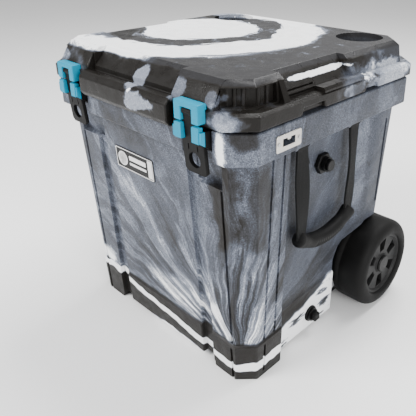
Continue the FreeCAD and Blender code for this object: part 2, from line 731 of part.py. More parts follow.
def lock_plate(side, label):
    """A stainless plate on the rim's side, with a slot that opens bottles or takes a padlock."""
    body = new_body(label)
    corners = plate_corners("lock_length", "lock_height", "2", "lock_along", "lock_up")
    holes = [("lock_along - 21", "lock_up", "1.6"), ("lock_along + 21", "lock_up", "1.6")]
    start = "rim_half_width" if side > 0 else "0 - rim_half_width"
    pad(body, label + "_pad", "YZ_Plane", corners, "lock_thickness", holes, start, side < 0)
    slot = sketch_on(body, label + "_slot", "YZ_Plane", [
        ("lock_along - lock_slot / 2", "lock_up - 5.5"), ("lock_along + lock_slot / 2", "lock_up - 5.5"),
        ("lock_along + lock_slot / 2", "lock_up + 5.5"), ("lock_along + 4", "lock_up + 5.5"),
        ("lock_along + 3", "lock_up + 2.5"), ("lock_along - 3", "lock_up + 2.5"),
        ("lock_along - 4", "lock_up + 5.5"), ("lock_along - lock_slot / 2", "lock_up + 5.5"),
    ])
    window = body.newObject("PartDesign::Pocket", label + "_window")
    window.Profile = slot
    window.Type = "ThroughAll"
    window.Midplane = True
    return body


lock_plate(1, "lock_plate_right")
lock_plate(-1, "lock_plate_left")


def lock_plate_screws():
    screws = []
    for end in (-21, 21):
        y, z, x = dim("lock_along") + end, dim("lock_up"), dim("rim_half_width") + dim("lock_thickness")
        head = Part.makeCylinder(2.8, 1.2, V(x, y, z), V(1, 0, 0))
        screws.append(head.fuse(rod(1.6, x - 9, x + 0.1, y, z)))
    return screws


badge = new_body("badge_plate")
pad(badge, "badge_pad", "XZ_Plane", plate_corners("badge_length", "badge_height", "4", "badge_across"), "2")
badge.Placement = FreeCAD.Placement(V(), FreeCAD.Rotation(V(1, 0, 0), wall_draft))
badge.setExpression("Placement.Base.y", bound(
    "0 - body_half_depth_low - (body_half_depth_top - body_half_depth_low) * badge_up / rim_bottom - 0.1"
))
badge.setExpression("Placement.Base.z", bound("badge_up"))

feature("lock_plate_screws", group(both(lock_plate_screws())))


# -------------------------------------------------------- side carrying handles

def webbing(end):
    """A right-hand strap: a loop round its pin and two layers that hang to the grip."""
    middle = dim("carry_along") + end * dim("carry_spread")
    pin, up, half = dim("carry_pin_across"), dim("carry_pin_up"), dim("webbing_width") / 2
    thick = dim("webbing_thickness") / 2
    loop = rod(dim("carry_pin_radius") + 2.4, middle - half, middle + half, pin, up, "y")
    strap = prism(
        [(pin - thick, up), (pin + thick, up), (pin + thick, 232), (pin - thick, 232)],
        "y", middle - half, middle + half,
    )
    bore = rod(
        dim("carry_pin_radius") + dim("running_gap"), middle - 30, middle + 30, pin, up, "y"
    )
    return strap.fuse(loop).cut(bore).removeSplitter()


def carry_grip():
    """The right-hand grip: a round bar bent into an arc between the two straps."""
    radius, bend = dim("grip_radius"), dim("grip_arc_radius")
    centre_up = dim("grip_low") + bend
    angle = math.degrees(math.asin((dim("carry_spread") + 4) / bend))
    ring = Part.makeTorus(bend, radius, V(), V(0, 0, 1), 0, 360, 2 * angle)
    ring.rotate(V(), V(0, 0, 1), -90 - angle)
    ring.rotate(V(), V(1, 0, 0), 90)
    ring.rotate(V(), V(0, 0, 1), 90)
    ring.translate(V(dim("carry_pin_across") + 2, dim("carry_along"), centre_up))
    return ring


for end, label in ((-1, "carry_strap_front"), (1, "carry_strap_rear")):
    feature(label + "_right", webbing(end))
    feature(label + "_left", mirrored(webbing(end)))
feature("carry_grip_right", carry_grip())
feature("carry_grip_left", mirrored(carry_grip()))


def carry_pins():
    """The two right-hand pins that the straps loop round."""
    pins = []
    for end in (-1, 1):
        middle = dim("carry_along") + end * dim("carry_spread")
        reach = dim("webbing_width") / 2 + 7
        pins.append(rod(
            dim("carry_pin_radius"), middle - reach, middle + reach,
            dim("carry_pin_across"), dim("carry_pin_up"), "y",
        ))
    return pins


feature("carry_pins", group(both(carry_pins())))


# --------------------------------------------------------------- vent and drain

def hexagon(across_flats):
    """The corners of a hexagon about the origin."""
    radius = across_flats / math.sqrt(3)
    turns = [math.radians(60 * i) for i in range(6)]
    return [(radius * math.cos(turn), radius * math.sin(turn)) for turn in turns]


def moved(points, a, b):
    return [(x + a, y + b) for x, y in points]


def panel_face(up):
    """How far out the set-back side panel stands at a height."""
    step = dim("panel_ledge_step") if up < dim("panel_ledge") else 0
    return wall_at(dim("panel_low"), dim("panel_top"), up) + step


def vent_body():
    """The pressure vent's hexagonal housing and the stem that goes through the wall."""
    along, up, stem = dim("vent_along"), dim("vent_up"), dim("vent_stem_radius")
    face = panel_face(up) + 0.4
    collar = prism(moved(hexagon(1.9 * dim("vent_radius")), along, up), "x", face, face + 8)
    shape = collar.fuse([
        rod(dim("vent_radius") * 0.72, face + 8, face + 15, along, up),
        rod(stem, 154, face + 1, along, up),
    ])
    bore = rod(10.3, face + 9, face + 16, along, up)
    return shape.cut([bore, rod(2, 150, face + 10, along, up)]).removeSplitter()


def vent_button():
    """The button that is pressed to let air in."""
    along, up = dim("vent_along"), dim("vent_up")
    face = panel_face(up) + 0.4
    return rod(10, face + 12.5, face + 21, along, up)


def vent_nut():
    along, up = dim("vent_along"), dim("vent_up")
    nut = prism(moved(hexagon(19), along, up), "x", 156, 161.5)
    return nut.cut(rod(dim("vent_stem_radius"), 150, 170, along, up))


def drain_fitting():
    """The drain's flanged tube through the right wall."""
    along, up, bore = dim("drain_along"), dim("drain_up"), dim("drain_bore_radius")
    face = panel_face(up) + 0.4
    shape = rod(dim("drain_radius"), face, face + 4, along, up).fuse(rod(bore, 136, face + 1, along, up))
    return shape.cut(rod(bore - 2.5, 130, face + 10, along, up)).removeSplitter()


def drain_nut():
    along, up = dim("drain_along"), dim("drain_up")
    nut = prism(moved(hexagon(22), along, up), "x", 143, 149.5)
    return nut.cut(rod(dim("drain_bore_radius"), 130, 160, along, up))


def drain_plug():
    """The plug that screws into the drain, with a square head for the fingers."""
    along, up = dim("drain_along"), dim("drain_up")
    face = panel_face(up) + 4.8
    stem = dim("drain_bore_radius") - 2.5 - dim("running_gap")
    shape = rod(12, face, face + 4, along, up)
    head = [(-7, -7), (7, -7), (7, 7), (-7, 7)]
    shape = shape.fuse([
        prism(moved(head, along, up), "x", face + 4, face + 13),
        rod(stem, face - 22, face + 1, along, up),
    ])
    return shape.removeSplitter()


def drain_seal():
    """The flat ring that the plug squeezes against the fitting."""
    along, up = dim("drain_along"), dim("drain_up")
    face = panel_face(up) + 4.45
    return rod(10.5, face, face + 0.3, along, up).cut(rod(7.2, face - 1, face + 1, along, up))


feature("vent_body", vent_body())
feature("vent_button", vent_button())
feature("vent_nut", vent_nut())
feature("drain_fitting", drain_fitting())
feature("drain_nut", drain_nut())
feature("drain_plug", drain_plug())
feature("drain_seal", drain_seal())


# ------------------------------------------------------------- axle and wheels

axle = cylinder("axle", "axle_radius", "2 * wheel_outer - 24", ("12 - wheel_outer", "axle_back", "axle_up"))
keep(axle, "axle")


def tube_along_x(name, outer, inner, low, length):
    """A ring round the axle's line."""
    at = (low, "axle_back", "axle_up")
    hole = (f"{low} - 1", "axle_back", "axle_up")
    solid = cylinder(name + "_solid", outer, length, at)
    return cut(name, solid, cylinder(name + "_hole", inner, f"{length} + 2", hole))


washers = [
    tube_along_x(f"axle_washer_{i}", "14", "axle_radius + running_gap", low, "3.2")
    for i, low in enumerate(("well_wall + 0.3", "0 - well_wall - 3.5"))
]
keep(bundle("axle_washers", washers), "axle_washers")
caps = [
    tube_along_x(f"axle_cap_{i}", "8.4", "axle_radius", low, "2.5")
    for i, low in enumerate(("wheel_outer - 15.5", "13 - wheel_outer"))
]
keep(bundle("axle_push_caps", caps), "axle_push_caps")


def wheel_piece(label, side, points, windows=None):
    """A turned piece of a wheel, drawn about the X axis and placed on the axle's line."""
    body = new_body(label)
    corners = points if side > 0 else [(f"0 - ({x})", r) for x, r in points]
    revolve(body, label + "_turned", corners)
    if windows:
        doc.recompute()
        before = body.Shape.Volume
        cutter = sketch_on(body, label + "_window_sketch", "YZ_Plane", windows)
        window = body.newObject("PartDesign::Pocket", label + "_window")
        window.Profile = cutter
        window.Type = "ThroughAll"
        window.Midplane = True
        pattern = body.newObject("PartDesign::PolarPattern", label + "_windows")
        pattern.Originals = [window]
        pattern.Axis = (cutter, ["N_Axis"])
        pattern.Angle = 360
        pattern.Occurrences = 6
        body.Tip = pattern
        doc.recompute()
        print(label, "windows take", round(before - body.Shape.Volume), "mm3")
    body.setExpression("Placement.Base.y", bound("axle_back"))
    body.setExpression("Placement.Base.z", bound("axle_up"))
    return body


TYRE = [
    ("wheel_inner + 3", "hub_radius"), ("wheel_inner", "hub_radius + 4"),
    ("wheel_inner", "wheel_radius - 14"),
    ("wheel_inner + 5", "wheel_radius - 6"), ("wheel_inner + 10", "wheel_radius - 4"),
    ("wheel_inner + 12", "wheel_radius"), ("wheel_outer - 18", "wheel_radius"),
    ("wheel_outer - 9", "wheel_radius - 2"), ("wheel_outer - 3", "wheel_radius - 7"),
    ("wheel_outer", "wheel_radius - 14"), ("wheel_outer", "hub_radius + 5"),
    ("wheel_outer - 4", "hub_radius"),
]
HUB = [
    ("well_wall + 4", "9"), ("well_wall + 4", "17"), ("wheel_outer - 18", "17"), ("wheel_outer - 18", "54"),
    ("wheel_inner + 5", "54"), ("wheel_inner + 5", "hub_radius"), ("wheel_outer - 6", "hub_radius"),
    ("wheel_outer - 6", "56"), ("wheel_outer - 10", "53"), ("wheel_outer - 10", "20"),
    ("wheel_outer - 8", "18"), ("wheel_outer - 8", "9"),
]
BUSH = [
    ("well_wall + 4", "axle_radius + running_gap"), ("well_wall + 4", "9"),
    ("wheel_outer - 17", "9"), ("wheel_outer - 17", "axle_radius + running_gap"),
]
HUB_CAP = [
    ("wheel_outer - 8", "0"), ("wheel_outer - 8", "17"), ("wheel_outer - 6", "17"),
    ("wheel_outer - 3.5", "15"), ("wheel_outer - 3", "0"),
]
WINDOW = [("-6.5", "27"), ("6.5", "27"), ("11.5", "51"), ("-11.5", "51")]
for side, hand in ((1, "right"), (-1, "left")):
    wheel_piece(f"tyre_{hand}", side, TYRE)
    wheel_piece(f"wheel_hub_{hand}", side, HUB, WINDOW)
    wheel_piece(f"wheel_bush_{hand}", side, BUSH)
    wheel_piece(f"hub_cap_{hand}", side, HUB_CAP)


# ---------------------------------------------------------------- towing handle
# Its pieces are drawn upright about the origin, then leaned and set behind the rear wall.

def lean(obj):
    """Puts a piece of the towing handle in its place."""
    obj.Placement = leaned
    return obj


def tow_tubes(name, radius, low, top):
    """Two tubes, one for each side, as separate sub-parts."""
    for across, hand in (("tow_spread", "right"), ("0 - tow_spread", "left")):
        body = new_body(f"{name}_{hand}")
        sketch = body.newObject("Sketcher::SketchObject", f"{name}_{hand}_rings")
        sketch.AttachmentSupport = [(plane_of(body, "XY_Plane"), "")]
        sketch.MapMode = "FlatFace"
        sketch.setExpression("AttachmentOffset.Base.z", bound(low))
        for text in (radius, f"{radius} - tow_wall"):
            centre = V(value_of(across), 0, 0)
            ring = sketch.addGeometry(Part.Circle(centre, V(0, 0, 1), value_of(text)), False)
            for kind, distance in (("DistanceX", across), ("DistanceY", "0")):
                at = sketch.addConstraint(Sketcher.Constraint(kind, -1, 1, ring, 3, value_of(distance)))
                sketch.setExpression(f"Constraints[{at}]", bound(distance))
            at = sketch.addConstraint(Sketcher.Constraint("Radius", ring, value_of(text)))
            sketch.setExpression(f"Constraints[{at}]", bound(text))
        tube = body.newObject("PartDesign::Pad", f"{name}_{hand}_pad")
        tube.Profile = sketch
        tube.setExpression("Length", bound(f"{top} - ({low})"))
        lean(body)


tow_tubes("tow_outer_tube", "tow_outer_radius", "tow_low", "tow_top")
tow_tubes("tow_middle_tube", "tow_mid_radius", "tow_low + 4", "tow_top")
tow_tubes("tow_inner_tube", "tow_inner_radius", "tow_low + 8", "tow_grip_low")

TUBE_HOLES = [("tow_spread", "0"), ("0 - tow_spread", "0")]


def tow_piece(label, corners, low, length, hole_radius=None):
    """A piece of the towing handle padded upwards, with holes for the two tubes."""
    body = new_body(label)
    holes = [(x, y, hole_radius) for x, y in TUBE_HOLES] if hole_radius else ()
    pad(body, label + "_pad", "XY_Plane", corners, length, holes, low)
    return lean(body)


WALL_SIDE = "0 - 29.8"
CLAMP = [
    ("0 - tow_spread - 22", WALL_SIDE), ("tow_spread + 22", WALL_SIDE), ("tow_spread + 22", "10"),
    ("tow_spread + 16", "15"), ("tow_spread - 16", "15"),
    ("tow_spread - 20", "10"), ("tow_spread - 20", "-22"),
    ("20 - tow_spread", "-22"), ("20 - tow_spread", "10"), ("16 - tow_spread", "15"),
    ("0 - tow_spread - 16", "15"), ("0 - tow_spread - 22", "10"),
]
for label, middle in (("tow_bracket_lower", "tow_bracket_one"), ("tow_bracket_upper", "tow_bracket_two")):
    bracket = tow_piece(label, CLAMP, f"{middle} - 15", "30", "tow_outer_radius")
    holes = [(x, middle, "2.2") for x in ("0 - 80", "80")]
    through = sketch_on(bracket, label + "_screw_holes", "XZ_Plane", [], holes)
    drilled = bracket.newObject("PartDesign::Pocket", label + "_drilled")
    drilled.Profile = through
    drilled.Type = "ThroughAll"
    drilled.Midplane = True
BAR = [
    ("0 - tow_spread - 16", "-6.5"), ("0 - tow_spread - 12", "-10.5"), ("tow_spread + 12", "-10.5"),
    ("tow_spread + 16", "-6.5"), ("tow_spread + 16", "6.5"), ("tow_spread + 12", "10.5"),
    ("0 - tow_spread - 12", "10.5"), ("0 - tow_spread - 16", "6.5"),
]
tow_piece("tow_collar", BAR, "tow_top + 0.3", "tow_collar_top - tow_top - 0.3", "tow_inner_radius + 0.1")
grip = tow_piece("tow_grip", BAR, "tow_grip_low", "tow_grip_top - tow_grip_low")
button_well = sketch_on(grip, "tow_grip_well", "XY_Plane", [
    ("0 - 15.3", "0 - 5.3"), ("15.3", "0 - 5.3"), ("15.3", "5.3"), ("0 - 15.3", "5.3"),
], (), "tow_grip_top")
doc.recompute()
whole = grip.Shape.Volume
well = grip.newObject("PartDesign::Pocket", "tow_grip_recess")
well.Profile = button_well
well.Length = 8.5
doc.recompute()
print("button well takes", round(whole - grip.Shape.Volume), "mm3 of", round(whole))
button = [("0 - 15", "0 - 5"), ("15", "0 - 5"), ("15", "5"), ("0 - 15", "5")]
tow_piece("tow_button", button, "tow_grip_top - 6", "8")


def bracket_screws():
    """Four screws that hold the brackets' thin webs to the rear wall."""
    heads = [Part.makeCylinder(4.5, 2.5, V(x, -22, z), V(0, 1, 0)) for x, z in bracket_screw_spots()]
    heads = [head.transformed(leaned.toMatrix()) for head in heads]
    return [head.fuse(shank) for head, shank in zip(heads, bracket_screw_shanks())]


feature("bracket_screws", group(bracket_screws()))


# ----------------------------------------------------------- check and write out

doc.recompute()
faults = []
for obj in doc.Objects:
    if any(word in obj.State for word in ("Invalid", "Error")):
        faults.append(f"{obj.Name} is {obj.State}")
for obj in subparts:
    if obj.Shape.isNull() or not obj.Shape.isValid() or not obj.Shape.Solids:
        faults.append(f"{obj.Label} has no sound solid")
if faults:
    raise RuntimeError("; ".join(faults))

os.makedirs("parts", exist_ok=True)
for obj in subparts:
    obj.Shape.exportStep(f"parts/{obj.Label}.step")
print(len(subparts), "sub-parts written")
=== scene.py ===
# %% [markdown]
# This lesson dresses a cooler on two wheels. Its measured parts come from a imported CAD model, the frame.
# Blender adds what CAD leaves out: rounded edges, swirled plastic, woven straps, rubber and metal.
# Nothing here changes the size of the cooler.

# %% Load the frame
import json
import math

import bmesh
import bpy
from mathutils import Matrix, Vector
from mathutils.geometry import intersect_line_line


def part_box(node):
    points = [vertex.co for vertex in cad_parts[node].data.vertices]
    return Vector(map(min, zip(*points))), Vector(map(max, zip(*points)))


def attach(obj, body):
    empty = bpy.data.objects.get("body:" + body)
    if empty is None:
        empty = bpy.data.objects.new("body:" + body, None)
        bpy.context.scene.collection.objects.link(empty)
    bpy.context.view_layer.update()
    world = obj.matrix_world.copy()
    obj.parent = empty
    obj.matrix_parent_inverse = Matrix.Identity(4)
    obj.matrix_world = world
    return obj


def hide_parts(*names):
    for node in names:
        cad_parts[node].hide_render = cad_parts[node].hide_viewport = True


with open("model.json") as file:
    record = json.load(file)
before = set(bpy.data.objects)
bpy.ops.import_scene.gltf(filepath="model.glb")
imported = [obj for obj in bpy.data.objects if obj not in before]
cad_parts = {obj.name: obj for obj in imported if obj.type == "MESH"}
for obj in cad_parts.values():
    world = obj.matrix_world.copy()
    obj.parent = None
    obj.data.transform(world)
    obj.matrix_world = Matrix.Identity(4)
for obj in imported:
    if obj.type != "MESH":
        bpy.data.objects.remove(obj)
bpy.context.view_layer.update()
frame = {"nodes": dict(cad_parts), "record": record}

# %% [markdown]
# A imported part is a mesh in the cooler's own frame: metres, +Z up, the latches at -Y, the wheels at +Y.
# The right side, +X, carries the vent and the drain. Every part belongs to a body that may move,
# such as the lid, and has a slot that names its material. A new piece takes over its body.

# %% Which body and slot each part has
bodies = frame["record"]["behaviour"]["bodies"]
owner = {node: body for body, members in bodies.items() for node in members}
slots = {part["node"]: part["material_slot"] for part in frame["record"]["subparts"]}
print(len(owner), "parts on", len(bodies), "bodies, in", len(set(slots.values())), "materials")

# %% [markdown]
# Shader maths is easier to read as sums than as boxes and noodles. A Value wraps one output of a node,
# and adding or multiplying Values adds the Math nodes. Colours never go through these, only numbers.

# %% Sums on shader values
class Value:
    """One output of a shader node, for use in sums."""

    def __init__(self, finish, socket):
        self.finish, self.socket = finish, socket

    def pair(self, operation, first, second):
        return self.finish.node("ShaderNodeMath", {"operation": operation}, {0: first, 1: second})

    def __add__(self, other):
        return self.pair("ADD", self, other)

    def __sub__(self, other):
        return self.pair("SUBTRACT", self, other)

    def __rsub__(self, other):
        return self.pair("SUBTRACT", other, self)

    def __mul__(self, other):
        return self.pair("MULTIPLY", self, other)

    def __pow__(self, other):
        return self.pair("POWER", self, other)

    __radd__, __rmul__ = __add__, __mul__


print("sums on shader values are ready")

# %% [markdown]
# A Finish is one material. Its node method makes any node: settings first, then the sockets.
# The other methods are the handful of steps that nearly every finish here needs.
# Patterns read Object coordinates, which are metres in the cooler's frame, so grain has its real size.

# %% The material builder
class Finish:
    """A material whose nodes are written as Python sums."""

    def __init__(self, name, **constants):
        self.material = bpy.data.materials.new(name)
        self.material.use_nodes = True
        self.tree = self.material.node_tree
        self.shader = self.tree.nodes["Principled BSDF"]
        for words, value in constants.items():
            self.shader.inputs[words.replace("_", " ").title().replace("Ior", "IOR")].default_value = value
        self.at = self.node("ShaderNodeTexCoord", out="Object")

    def node(self, kind, settings=None, inputs=None, out=0):
        """A new node, its settings and its sockets' values or links, as the Value of one output."""
        node = self.tree.nodes.new(kind)
        for key, value in (settings or {}).items():
            if key == "stops":
                ramp = node.color_ramp
                while len(ramp.elements) < len(value):
                    ramp.elements.new(0.5)
                for element, (position, colour) in zip(ramp.elements, value):
                    element.position, element.color = position, colour
            else:
                setattr(node, key, value)
        for key, value in (inputs or {}).items():
            if isinstance(value, Value):
                self.tree.links.new(value.socket, node.inputs[key])
            else:
                node.inputs[key].default_value = value
        return Value(self, node.outputs[out])

    def vector(self, operation, first, second, out="Vector"):
        return self.node("ShaderNodeVectorMath", {"operation": operation}, {0: first, 1: second}, out)

    def axes(self, vector):
        node = self.node("ShaderNodeSeparateXYZ", inputs={0: vector}).socket.node
        return [Value(self, socket) for socket in node.outputs]

    def point(self, x, y, z):
        return self.node("ShaderNodeCombineXYZ", inputs={0: x, 1: y, 2: z})

    def noise(self, scale, detail=2.0, rough=0.5, at=None, out="Factor"):
        """Cloudy noise; a scale of 100 has clouds of about 10 mm."""
        names = {"Vector": at or self.at, "Scale": scale, "Detail": detail, "Roughness": rough}
        socket = self.node("ShaderNodeTexNoise", inputs=names).socket.node.outputs
        return Value(self, socket[1] if out == "Color" else socket[0])

    def step(self, value, low, high, to_low=0.0, to_high=1.0):
        """Rises smoothly from to_low to to_high as a value goes from low to high."""
        names = {"Value": value, "From Min": low, "From Max": high, "To Min": to_low, "To Max": to_high}
        return self.node("ShaderNodeMapRange", {"interpolation_type": "SMOOTHSTEP"}, names)

    def ramp(self, value, stops):
        return self.node("ShaderNodeValToRGB", {"stops": stops}, {0: value})

    def mix(self, factor, first, second):
        """A colour between two colours."""
        return self.node("ShaderNodeMix", {"data_type": "RGBA"}, {0: factor, 6: first, 7: second}, 2)

    def bump(self, height, depth):
        """Relief of a given depth in metres."""
        normal = self.node("ShaderNodeBump", inputs={"Strength": 1.0, "Distance": depth, "Height": height})
        self.wear({"Normal": normal})

    def wear(self, links):
        """Feeds the shader's sockets that vary over the surface."""
        for name, value in links.items():
            self.tree.links.new(value.socket, self.shader.inputs[name])
        return self


def grey(level, warm=0.0):
    """An opaque grey, a little redder where warm is above 0 and bluer below."""
    return (level * (1 + warm), level, level * (1 - warm), 1.0)


print("material builder is ready")

# %% [markdown]
# The tub and lid are rotomoulded: grey, white and black powders melt against a hot mould and flow a little.
# So the colour is a swirl with soft and hard borders, broken up by powder grains of about a millimetre,
# and the skin is faintly pebbled. One number, the tone, runs from charcoal to white, and a ramp colours it.
# That keeps the swirls easy to steer: a patch or a streak only adds to the tone or takes from it.

# %% Colours of the swirled plastic
POWDERS = [
    (0.00, grey(0.003, 0.10)), (0.18, grey(0.010, 0.14)), (0.36, (0.030, 0.031, 0.035, 1.0)),
    (0.54, (0.068, 0.077, 0.100, 1.0)), (0.74, (0.21, 0.232, 0.28, 1.0)), (0.93, grey(0.90, -0.01)),
]


def swirled(name, rough, grain, tone_of):
    """The rotomoulded skin; tone_of gets the finish and returns its tone, 0 charcoal to 1 white."""
    skin = Finish(name, specular_ior_level=0.14)
    tone = tone_of(skin)
    speckle = skin.noise(560.0, 3.0, 0.85)
    middle = skin.step(tone, 0.12, 0.45) * (1 - skin.step(tone, 0.72, 1.0))
    tone = tone + (speckle - 0.5) * (middle * grain + 0.05)
    skin.wear({
        "Base Color": skin.ramp(tone, POWDERS),
        "Roughness": skin.step(skin.noise(60.0), 0.3, 0.7, *rough),
    })
    skin.bump(skin.noise(420.0, 3.0, 0.6) + skin.noise(30.0) * 0.8, 0.00035)
    return skin.material


def patches(skin, spots, start=0.55, end=1.25):
    """Adds patches of tone: (centre, half size, change). Their borders waver and fade from start to end."""
    waver = (skin.noise(26.0, 5.0, 0.65) - 0.5) * 1.7
    total = 0.0
    for centre, half, change in spots:
        near = skin.vector("DIVIDE", skin.at, half)
        middle = tuple(c / h for c, h in zip(centre, half))
        away = skin.vector("DISTANCE", near, middle, "Value")
        total = (1 - skin.step(away + waver, start, end)) * change + total
    return total


print(len(POWDERS), "powder colours")

# %% [markdown]
# On the tub the swirls fan out of the lower right front corner and thin out as they climb.
# The walk round the front right corner is x + y, so an angle and a distance from that corner can be
# worked out on both faces at once. Noise that is stretched along the distance gives the streaks, and a
# sharp ridge of the same noise gives the white veins between them. The foot band is dark with a white wave.

# %% Tone of the tub
def tub_tone(skin):
    drift = skin.vector("SUBTRACT", skin.noise(5.0, 3.0, 0.5, out="Color"), (0.5, 0.5, 0.5))
    moved = skin.vector("ADD", skin.at, skin.vector("MULTIPLY", drift, (0.085, 0.085, 0.07)))
    x, y, z = skin.axes(moved)
    walk, climb = x + y - 0.02, z - 0.03
    turn = skin.node("ShaderNodeMath", {"operation": "ARCTAN2"}, {0: walk, 1: climb})
    reach = (walk * walk + climb * climb) ** 0.5
    broad = skin.noise(1.0, 6.0, 0.6, skin.point(turn * 4.2, reach * 2.6, x - y))
    fine = skin.noise(1.0, 5.0, 0.7, skin.point(turn * 18.0, reach * 3.5, (x - y) * 2.0))
    ridge = skin.node("ShaderNodeMath", {"operation": "ABSOLUTE"}, {0: broad - 0.52})
    veins = 1 - skin.step(ridge, 0.0, 0.035)
    force = skin.step(reach, 0.08, 0.36, 2.0, 0.60)
    tone = 0.48 + (broad - 0.5) * force * 1.15 + (fine - 0.5) * 0.6 * force + veins * 0.12
    tone = tone + (skin.noise(7.0, 2.0) - 0.5) * 0.35
    tone = tone + patches(skin, [
        ((0.175, -0.205, 0.33), (0.03, 0.03, 0.09), -0.26),
        ((0.214, -0.165, 0.32), (0.03, 0.03, 0.08), -0.24),
        ((0.192, -0.215, 0.418), (0.010, 0.03, 0.030), 0.45),
        ((0.222, -0.205, 0.438), (0.02, 0.03, 0.016), -0.30),
        ((0.231, 0.125, 0.425), (0.03, 0.032, 0.03), 0.30),
        ((0.205, 0.105, 0.29), (0.03, 0.014, 0.10), 0.26),
        ((0.200, 0.02, 0.135), (0.03, 0.06, 0.03), -0.14),
        ((-0.05, -0.195, 0.30), (0.10, 0.04, 0.09), 0.06),
        ((-0.17, -0.19, 0.09), (0.05, 0.03, 0.02), 0.40),
        ((0.06, -0.19, 0.115), (0.09, 0.03, 0.03), 0.22),
    ])
    plain_x, plain_y, plain_z = skin.axes(skin.at)
    calm = skin.step(plain_x, 0.170, 0.180) * skin.step(plain_y, -0.096, -0.086) * 0.6
    tone = tone * (1 - calm) + 0.46 * calm
    corner = plain_x + plain_y - 0.02
    wave = (skin.noise(11.0, 3.0, 0.6) - 0.5) * 0.03
    band = 1 - skin.step(plain_z + wave * 0.5, 0.070, 0.078)
    stripe_at = 0.027 - skin.step(corner, -0.45, 0.0, -0.045, 0.0) + wave
    off = skin.node("ShaderNodeMath", {"operation": "ABSOLUTE"}, {0: plain_z - stripe_at})
    half = 0.0045 + skin.noise(14.0, 3.0) * 0.004 + skin.step(corner, -0.06, 0.02) * 0.002
    stripe = 1 - skin.step(off - half, -0.001, 0.001)
    on_side = skin.step(plain_x, 0.170, 0.180) * skin.step(plain_y, -0.094, -0.088)
    rise = 0.052 + (plain_y + 0.09) * 0.25 + wave * 1.6
    milk = (1 - skin.step(plain_z, rise - 0.005, rise + 0.005)) * on_side
    along = skin.point(plain_x * 20.0, plain_y * 16.0, plain_z * 75.0)
    smear = skin.step(skin.noise(1.0, 4.0, 0.6, along), 0.55, 0.64)
    foot = band * (1 - on_side)
    low = 0.20 + stripe * 0.85 + (skin.noise(90.0, 3.0, 0.7) - 0.5) * 0.12 + patches(skin, [
        ((0.03, -0.185, 0.006), (0.08, 0.03, 0.011), 0.75),
    ], 0.75, 1.05)
    tone = tone * (1 - foot) + low * foot
    tone = tone - on_side * (1 - skin.step(plain_z, 0.070, 0.115)) * 0.30
    return tone * (1 - milk) + (0.97 - smear * 0.65) * milk


tub_skin = swirled("tub_swirl", (0.36, 0.50), 0.85, tub_tone)
print(tub_skin.name, "has", len(tub_skin.node_tree.nodes), "nodes")

# %% [markdown]
# The lid came out of the same powders in another mood: near-black edges with a few pale patches,
# and on top wide white arcs that sweep round a point left of the middle, over warm dark grey.
# Rings of distance from that point, pushed about by noise, give arcs with both crisp and feathered sides.

# %% Tone of the lid
def lid_tone(skin):
    drift = skin.vector("SUBTRACT", skin.noise(9.0, 4.0, 0.55, out="Color"), (0.5, 0.5, 0.5))
    moved = skin.vector("ADD", skin.at, skin.vector("MULTIPLY", drift, (0.075, 0.075, 0.03)))
    x, y, z = skin.axes(moved)
    across, back = x + 0.11, y - 0.02
    away = (across * across + back * back) ** 0.5
    feather = (skin.noise(1.0, 5.0, 0.65, skin.point(away * 60.0, across * 9.0, back * 9.0)) - 0.5) * 0.06
    away = away + feather
    outer = skin.step(away, 0.150, 0.158) * (1 - skin.step(away, 0.222, 0.250))
    inner = 1 - skin.step(away, 0.108, 0.118)
    specks = skin.step(skin.noise(38.0, 6.0, 0.75), 0.56, 0.70) * (1 - skin.step(away, 0.26, 0.34)) * 0.5
    top = 0.27 + (outer + inner) * 0.75 + specks + patches(skin, [
        ((-0.175, -0.12, 0.508), (0.05, 0.04, 0.03), -0.55),
        ((-0.20, 0.17, 0.508), (0.06, 0.05, 0.03), -0.30),
    ])
    edge = 0.10 + skin.step(skin.noise(11.0, 4.0, 0.6), 0.50, 0.66) * 0.42 + patches(skin, [
        ((0.045, -0.232, 0.458), (0.036, 0.03, 0.016), 0.62),
        ((0.018, -0.215, 0.485), (0.016, 0.03, 0.022), 0.60),
        ((0.112, -0.212, 0.487), (0.016, 0.03, 0.018), 0.50),
        ((0.205, -0.215, 0.458), (0.03, 0.03, 0.014), 0.22),
        ((0.235, 0.13, 0.462), (0.04, 0.07, 0.03), 0.40),
        ((0.225, 0.02, 0.458), (0.04, 0.03, 0.012), 0.30),
        ((0.175, -0.200, 0.485), (0.012, 0.03, 0.012), 0.40),
        ((0.217, -0.040, 0.493), (0.03, 0.080, 0.0045), 0.85),
        ((-0.19, -0.215, 0.485), (0.03, 0.04, 0.012), 0.40),
    ], 0.82, 1.04)
    edge = edge + skin.step(y, 0.02, 0.12) * 0.26
    x, y, z = skin.axes(skin.at)
    upper = skin.step(z + (skin.noise(30.0) - 0.5) * 0.006, 0.4985, 0.5030)
    return edge * (1 - upper) + top * upper


lid_skin = swirled("lid_swirl", (0.26, 0.42), 0.50, lid_tone)
print(lid_skin.name, "has", len(lid_skin.node_tree.nodes), "nodes")

# %% [markdown]
# The black mouldings, such as the hub caps, vent and towing handle, are satin plastic with a fine grain.
# A flat black would look like a hole, so it varies: broad handling marks in the roughness, fine grain in
# the relief, and a touch of dust in the colour.

# %% Black plastics, rubbers and blue plastic
def moulded(name, base, dust, rough, grain_scale, grain_depth, **constants):
    """A moulded plastic or rubber with dust, handling marks and fine grain."""
    skin = Finish(name, **constants)
    marks = skin.noise(28.0, 4.0, 0.6)
    grain = skin.noise(grain_scale, 2.0, 0.6)
    colour = skin.mix(skin.step(marks * 0.6 + grain * 0.4, 0.40, 0.72), base, dust)
    skin.wear({"Base Color": colour, "Roughness": skin.step(marks, 0.25, 0.75, *rough)})
    skin.bump(grain, grain_depth)
    return skin.material


